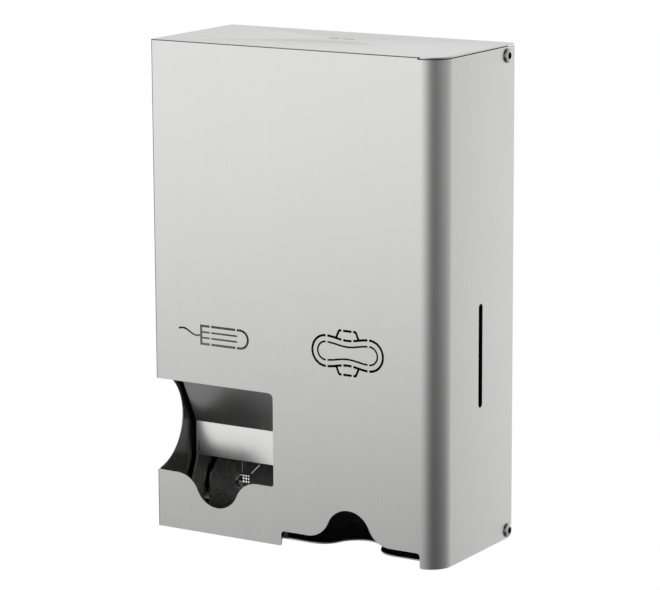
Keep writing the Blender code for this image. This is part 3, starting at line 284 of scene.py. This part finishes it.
def ramp(tree, place, stops, span, divisor=1.0):
    """Greys over place, which is 0 to 1 across span degrees, from (degrees, grey) pairs."""
    node = tree.nodes.new("ShaderNodeValToRGB")
    elements = node.color_ramp.elements
    while len(elements) < len(stops):
        elements.new(1.0)
    for element, (angle, grey) in zip(elements, stops):
        shade = grey / divisor
        element.position = RAMP_MIDDLE + angle / span
        element.color = (shade, shade, shade, 1.0)
    tree.links.new(place, node.inputs[0])
    return node.outputs[0]


def add_world():
    """Soft studio surroundings: bright all round but for a shaded sector at the front right."""
    world = bpy.data.worlds.new("studio")
    bpy.context.scene.world = world
    world.use_nodes = True
    tree = world.node_tree
    tree.nodes.clear()
    x, y, z = split(tree, coordinates(tree, "Generated"))
    around = maths(tree, "ARCTAN2", x, maths(tree, "MULTIPLY", y, -1.0))
    turn = maths(tree, "MULTIPLY_ADD", around, 1 / math.tau, RAMP_MIDDLE)
    height = maths(tree, "MULTIPLY_ADD", maths(tree, "ARCSINE", z), 1 / math.pi, RAMP_MIDDLE)
    sector = ramp(tree, turn, SECTORS, ALL_ROUND, HEADROOM)
    rear_share = ramp(tree, turn, REAR_SHARE, ALL_ROUND)
    front_band = ramp(tree, height, FRONT_LEVELS, UP_AND_DOWN)
    rear_band = ramp(tree, height, REAR_LEVELS, UP_AND_DOWN)
    step = maths(tree, "MULTIPLY", maths(tree, "SUBTRACT", rear_band, front_band), rear_share)
    band = maths(tree, "ADD", front_band, step)
    strength = maths(tree, "MULTIPLY", maths(tree, "MULTIPLY", sector, band), HEADROOM)
    surroundings, white = (tree.nodes.new("ShaderNodeBackground") for _ in range(2))
    for node in (surroundings, white):
        node.inputs["Color"].default_value = WHITE
    tree.links.new(strength, surroundings.inputs["Strength"])
    output = tree.nodes.new("ShaderNodeOutputWorld")
    tree.links.new(
        white_to_camera(tree, surroundings.outputs[0], white.outputs[0]), output.inputs[0],
    )


def new_material(name):
    """A material with nodes, its node tree and its shader."""
    material = bpy.data.materials.new(name)
    material.use_nodes = True
    return material, material.node_tree, material.node_tree.nodes["Principled BSDF"]


def add_floor():
    """A pale floor, white to a camera above it and clear to one below it."""
    place = (0, 0, cad_box[0][2] - FLOOR_DROP)
    bpy.ops.mesh.primitive_plane_add(size=FLOOR_SIZE, location=place)
    floor = bpy.context.object
    floor.name = "floor"
    material, tree, shader = new_material("pale_floor")
    nodes = tree.nodes
    shader.inputs["Base Color"].default_value = FLOOR_COLOUR
    shader.inputs["Roughness"].default_value = FLOOR_ROUGHNESS
    white = nodes.new("ShaderNodeEmission")
    clear = nodes.new("ShaderNodeBsdfTransparent")
    below = maths(
        tree, "MULTIPLY", nodes.new("ShaderNodeLightPath").outputs["Is Camera Ray"],
        nodes.new("ShaderNodeNewGeometry").outputs["Backfacing"],
    )
    above = white_to_camera(tree, shader.outputs[0], white.outputs[0])
    surface = mixed(tree, below, above, clear.outputs[0])
    tree.links.new(surface, nodes["Material Output"].inputs["Surface"])
    floor.data.materials.append(material)
    floor.visible_glossy = False


def new_group(name, inputs, output):
    """A node group with number inputs of given values and one number output."""
    group = bpy.data.node_groups.new(name, "ShaderNodeTree")
    for label, value in inputs.items():
        socket = group.interface.new_socket(
            name=label, in_out="INPUT", socket_type="NodeSocketFloat",
        )
        socket.default_value = value
    group.interface.new_socket(name=output, in_out="OUTPUT", socket_type="NodeSocketFloat")
    given = group.nodes.new("NodeGroupInput").outputs
    result = group.nodes.new("NodeGroupOutput").inputs[output]
    return group, given, result


def add_noise(tree, place, scale, detail):
    node = tree.nodes.new("ShaderNodeTexNoise")
    names = ("Vector", "Scale", "Detail")
    feed(tree, [node.inputs[name] for name in names], (place, scale, detail))
    return node.outputs["Fac"]


def make_brushed_grain():
    """Fine lines that run up the walls and front to back over the top."""
    group, given, result = new_group(
        "brushed_grain", {"Lines per metre": GRAIN_LINES, "Line length": GRAIN_LENGTH}, "Grain",
    )
    facing_up = maths(group, "ABSOLUTE", split(group, coordinates(group, "Normal"))[2])
    level = maths(group, "GREATER_THAN", facing_up, FACING)
    x, y, z = split(group, coordinates(group, "Object"))
    across = given["Lines per metre"]
    along = maths(group, "DIVIDE", 1.0, given["Line length"])

    def stretched(first, second, run):
        return combined(
            group, maths(group, "MULTIPLY", first, across), maths(group, "MULTIPLY", second, across),
            maths(group, "MULTIPLY", run, along),
        )

    choice = group.nodes.new("ShaderNodeMix")
    choice.data_type = "VECTOR"
    group.links.new(level, choice.inputs["Factor"])
    group.links.new(stretched(x, y, z), choice.inputs[MIX_FIRST_VECTOR])
    group.links.new(stretched(x, z, y), choice.inputs[MIX_SECOND_VECTOR])
    noise = add_noise(group, choice.outputs[MIX_VECTOR_RESULT], 1.0, GRAIN_DETAIL)
    group.links.new(noise, result)
    return group


def make_handling_marks():
    """Broad, faint unevenness of a wiped surface."""
    group, given, result = new_group("handling_marks", {"Size": MARK_SIZE}, "Marks")
    scale = maths(group, "DIVIDE", 1.0, given["Size"])
    group.links.new(add_noise(group, coordinates(group, "Object"), scale, MARK_DETAIL), result)
    return group


def use_group(tree, group):
    node = tree.nodes.new("ShaderNodeGroup")
    node.node_tree = group
    return node


def ranged(tree, value, low, high):
    """Maps the middle of a noise to a range."""
    node = tree.nodes.new("ShaderNodeMapRange")
    names = ("Value", "From Min", "From Max", "To Min", "To Max")
    feed(tree, [node.inputs[name] for name in names], (value, NOISE_LOW, NOISE_HIGH, low, high))
    return node.outputs["Result"]


def tinted(tree, tone, tint):
    """Colour of a grey tone, each channel times its share in tint."""
    node = tree.nodes.new("ShaderNodeCombineColor")
    feed(tree, node.inputs, [maths(tree, "MULTIPLY", tone, share) for share in tint])
    return node.outputs[0]


def metal(name, groups):
    """Steel of METALS, whose grain and handling vary its colour and roughness."""
    finish = METALS[name]
    grey, roughness, grain, streak = finish.grey, finish.roughness, finish.grain, finish.streak
    material, tree, shader = new_material(name)
    shader.inputs["Metallic"].default_value = 1.0
    lines = use_group(tree, groups["brushed_grain"]).outputs["Grain"]
    marks = use_group(tree, groups["handling_marks"]).outputs["Marks"]
    tone = maths(
        tree, "ADD", ranged(tree, lines, grey - grain, grey + grain),
        ranged(tree, marks, -grain / 2, grain / 2),
    )
    uneven = maths(
        tree, "ADD", ranged(tree, lines, roughness - streak, roughness + streak),
        ranged(tree, marks, -streak, streak),
    )
    tree.links.new(tinted(tree, tone, STEEL_TINT), shader.inputs["Base Color"])
    tree.links.new(uneven, shader.inputs["Roughness"])
    if finish.anisotropic:
        shader.inputs["Anisotropic"].default_value = finish.anisotropic
        tree.links.new(across_grain(tree), shader.inputs["Tangent"])
    if finish.bow:
        tree.links.new(bowed_sides(tree, finish.bow), shader.inputs["Normal"])
    material.diffuse_color = (grey, grey, grey, 1.0)
    return material


def world_direction(tree, kind, vector):
    """A vector or normal of the object as a direction in the world, one unit long."""
    node = tree.nodes.new("ShaderNodeVectorTransform")
    node.vector_type = kind
    node.convert_from, node.convert_to = "OBJECT", "WORLD"
    tree.links.new(vector, node.inputs[0])
    return vector_maths(tree, "NORMALIZE", node.outputs[0])


def across_grain(tree):
    """Direction across the grain lines: level on the walls, and along X over the top."""
    level = vector_maths(tree, "CROSS_PRODUCT", (0, 0, 1), coordinates(tree, "Normal"))
    return world_direction(tree, "VECTOR", vector_maths(tree, "ADD", level, TANGENT_LEAN))


def bowed_sides(tree, bow):
    """Normal of side walls that bow outward a little between the front and the wall."""
    normal = coordinates(tree, "Normal")
    y = split(tree, coordinates(tree, "Object"))[1]
    facing_side = maths(tree, "ABSOLUTE", split(tree, normal)[0])
    side = maths(tree, "POWER", facing_side, SIDE_FACING_POWER)
    middle = (cad_box[0][1] + cad_box[1][1]) / 2
    lean = maths(tree, "MULTIPLY", maths(tree, "SUBTRACT", y, middle), bow)
    push = combined(tree, 0.0, maths(tree, "MULTIPLY", lean, side), 0.0)
    return world_direction(tree, "NORMAL", vector_maths(tree, "ADD", normal, push))


def nylon(name, groups):
    """White nylon with a fine unevenness."""
    material, tree, shader = new_material(name)
    node = use_group(tree, groups["handling_marks"])
    node.inputs["Size"].default_value = NYLON_MARK_SIZE
    marks = node.outputs["Marks"]
    tone = ranged(tree, marks, *NYLON_GREYS)
    tree.links.new(tinted(tree, tone, NYLON_TINT), shader.inputs["Base Color"])
    tree.links.new(ranged(tree, marks, *NYLON_ROUGHNESS), shader.inputs["Roughness"])
    return material


def add_piece(name, mesh):
    piece = bpy.data.objects.new(name, mesh)
    bpy.context.scene.collection.objects.link(piece)
    return piece


def pick(piece):
    """Makes a piece the only selected and the active one."""
    for other in bpy.context.selected_objects:
        other.select_set(False)
    piece.select_set(True)
    bpy.context.view_layer.objects.active = piece


def dressed_copy(node, material, edge):
    """A merged, smoothed copy of a piece from the frame, with its edges broken by edge."""
    source = frame["nodes"][node]
    mesh = source.data.copy()
    piece = add_piece(f"{node}_dressed", mesh)
    pick(piece)
    bpy.ops.mesh.customdata_custom_splitnormals_clear()
    bpy.ops.object.mode_set(mode="EDIT")
    bpy.ops.mesh.select_all(action="SELECT")
    bpy.ops.mesh.remove_doubles(threshold=MERGE)
    bpy.ops.mesh.dissolve_limited(angle_limit=FLAT_ANGLE)
    bpy.ops.object.mode_set(mode="OBJECT")
    edges = piece.modifiers.new("broken_edges", "BEVEL")
    edges.width = edge
    edges.segments = EDGE_SEGMENTS
    edges.limit_method = "ANGLE"
    edges.angle_limit = SMOOTH_ANGLE
    edges.use_clamp_overlap = True
    edges.harden_normals = True
    bpy.ops.object.modifier_apply(modifier=edges.name)
    bpy.ops.object.shade_smooth_by_angle(angle=SMOOTH_ANGLE)
    weights = piece.modifiers.new("flat_faces_stay_flat", "WEIGHTED_NORMAL")
    weights.keep_sharp = True
    bpy.ops.object.modifier_apply(modifier=weights.name)
    mesh.materials.clear()
    mesh.materials.append(material)
    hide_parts(node)
    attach(piece, source["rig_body"])
    return piece


def sprung_copy(node, material):
    """A copy of the latch spring in its material, in place of the hidden original."""
    mesh = frame["nodes"][node].data.copy()
    piece = add_piece(f"{node}_sprung", mesh)
    mesh.materials.clear()
    mesh.materials.append(material)
    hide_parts(node)
    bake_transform(piece)


def finish_cover(cover, cut_edge, inside):
    """Gives the cover's cut edges and its inner faces darker steels of their own, which paint shade
    into the slots, seams and inside of the box.
    """
    mesh = cover.data
    mesh.materials.append(cut_edge)
    mesh.materials.append(inside)
    low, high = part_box("cover_shell")
    middle = (low[1] + high[1]) / 2
    for face in mesh.polygons:
        centre, normal = face.center, face.normal
        in_lid = centre.z > high[2] - SHEET
        rim = min(centre.y - low[1], high[0] - abs(centre.x)) < RIM
        on_front = centre.y < low[1] + SHEET and abs(normal.y) < EDGE_ON
        on_side = abs(centre.x) > high[0] - SHEET and abs(normal.x) < EDGE_ON
        on_top = in_lid and abs(normal.z) < EDGE_ON
        inward = centre.x * normal.x + (centre.y - middle) * normal.y < 0
        if in_lid and rim:
            continue
        # Cut edges get the near-black steel: painted shade in the slots and seams
        if on_front or on_side or on_top:
            face.material_index = CUT_EDGE_SLOT
        # Inward and downward faces get the darker steel: painted shade inside the box
        elif normal.z < -FACING or (abs(normal.z) < FACING and inward):
            face.material_index = INSIDE_SLOT


def socket_radius(angle):
    """Distance from the socket's middle to its flats in the direction of angle."""
    side = math.tau / SOCKET_SIDES
    return SOCKET_FLATS / 2 / math.cos((angle + side / 2) % side - side / 2)


def screw_rings(length):
    """Rings from the socket's floor to the shank's end, as (height over the seat, radius).

    A radius of None follows the hexagon of the socket.
    """
    rings = [(SOCKET_FLOOR, None), (HEAD_HEIGHT - SOCKET_MOUTH_DEPTH, None)]
    start = math.asin(SOCKET_MOUTH / HEAD_RADIUS)
    dome = HEAD_HEIGHT - HEAD_RIM
    for step in range(DOME_STEPS + 1):
        angle = start + (math.pi / 2 - start) * step / DOME_STEPS
        rings.append((HEAD_RIM + dome * math.cos(angle), HEAD_RADIUS * math.sin(angle)))
    rings += [(0, HEAD_RADIUS), (0, SHANK_RADIUS), (-PLAIN_SHANK, SHANK_RADIUS)]
    for turn in range(int((length - PLAIN_SHANK) / THREAD_PITCH)):
        root = -PLAIN_SHANK - (turn + 0.5) * THREAD_PITCH
        rings += [(root, THREAD_ROOT), (root - THREAD_PITCH / 2, SHANK_RADIUS)]
    rings.append((-length, THREAD_ROOT))
    return rings


def make_button_screw(node, material, painted_socket_shade):
    """Rounded-head socket screw in a screw's place, its head away from the middle of the box."""
    low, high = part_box(node)
    way = 1 if low[0] + high[0] > 0 else -1
    outer, inner = (high[0], low[0]) if way > 0 else (low[0], high[0])
    y, z = (low[1] + high[1]) / 2, (low[2] + high[2]) / 2
    seat = outer - way * HEAD_HEIGHT
    mesh = bmesh.new()
    loops = []
    for height, radius in screw_rings(abs(inner - seat)):
        loop = []
        for step in range(SCREW_STEPS):
            angle = math.tau * step / SCREW_STEPS
            reach = socket_radius(angle) if radius is None else radius
            loop.append(mesh.verts.new((
                seat + way * height, y + reach * math.cos(angle), z + reach * math.sin(angle),
            )))
        loops.append(loop)
    for first, second in zip(loops, loops[1:]):
        for step in range(SCREW_STEPS):
            after = (step + 1) % SCREW_STEPS
            mesh.faces.new((first[step], first[after], second[after], second[step]))
    mesh.faces.new(loops[0])
    mesh.faces.new(loops[-1])
    bmesh.ops.recalc_face_normals(mesh, faces=mesh.faces)
    data = bpy.data.meshes.new(f"{node}_turned")
    mesh.to_mesh(data)
    mesh.free()
    piece = add_piece(f"{node}_turned", data)
    pick(piece)
    bpy.ops.object.shade_smooth_by_angle(angle=SMOOTH_ANGLE)
    data.materials.append(material)
    data.materials.append(painted_socket_shade)
    # Faces of the socket's hollow take the near-black steel: painted shade
    for face in data.polygons:
        depth = way * (face.center.x - seat)
        off_axis = math.hypot(face.center.y - y, face.center.z - z)
        if 0 <= depth and off_axis < SOCKET_MOUTH:
            face.material_index = SOCKET_SHADE_SLOT
    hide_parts(node)
    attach(piece, frame["nodes"][node]["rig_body"])


def main():
    add_camera()
    add_world()
    add_floor()
    groups = {"brushed_grain": make_brushed_grain(), "handling_marks": make_handling_marks()}
    metals = {name: metal(name, groups) for name in METALS}
    finishes = {
        "brushed_steel": metals["brushed_sheet"],
        "plain_steel": metals["plain_sheet"],
        "bright_screw_steel": metals["screw_steel"],
        "spring_steel": metals["spring_wire"],
        "white_nylon": nylon("nylon", groups),
    }
    for node in frame["nodes"].values():
        slot = node.material_slots[0].material.name.split(".")[0]
        node.material_slots[0].material = finishes[slot]
    cover = dressed_copy("cover_shell", finishes["brushed_steel"], EDGE_BREAK)
    finish_cover(cover, metals["cut_edge_painted_shade"], metals["cover_inside_painted_shade"])
    for name in SHEETS:
        # The front guide gets the steel brightened as painted light; the other sheets get the plain
        # steel
        finish = metals["guide_painted_light"] if name == "tampon_front_guide" else finishes["plain_steel"]
        dressed_copy(name, finish, EDGE_BREAK)
    sprung_copy("latch_spring", finishes["spring_steel"])
    bright = finishes["bright_screw_steel"]
    for name in frame["nodes"]:
        if "screw" in name:
            make_button_screw(name, bright, metals["socket_painted_shade"])
        elif "nut" in name or "rivet" in name or name == "latch_pin":
            dressed_copy(name, bright, SMALL_EDGE_BREAK)
    bpy.context.scene.view_settings.view_transform = "Standard"


main()
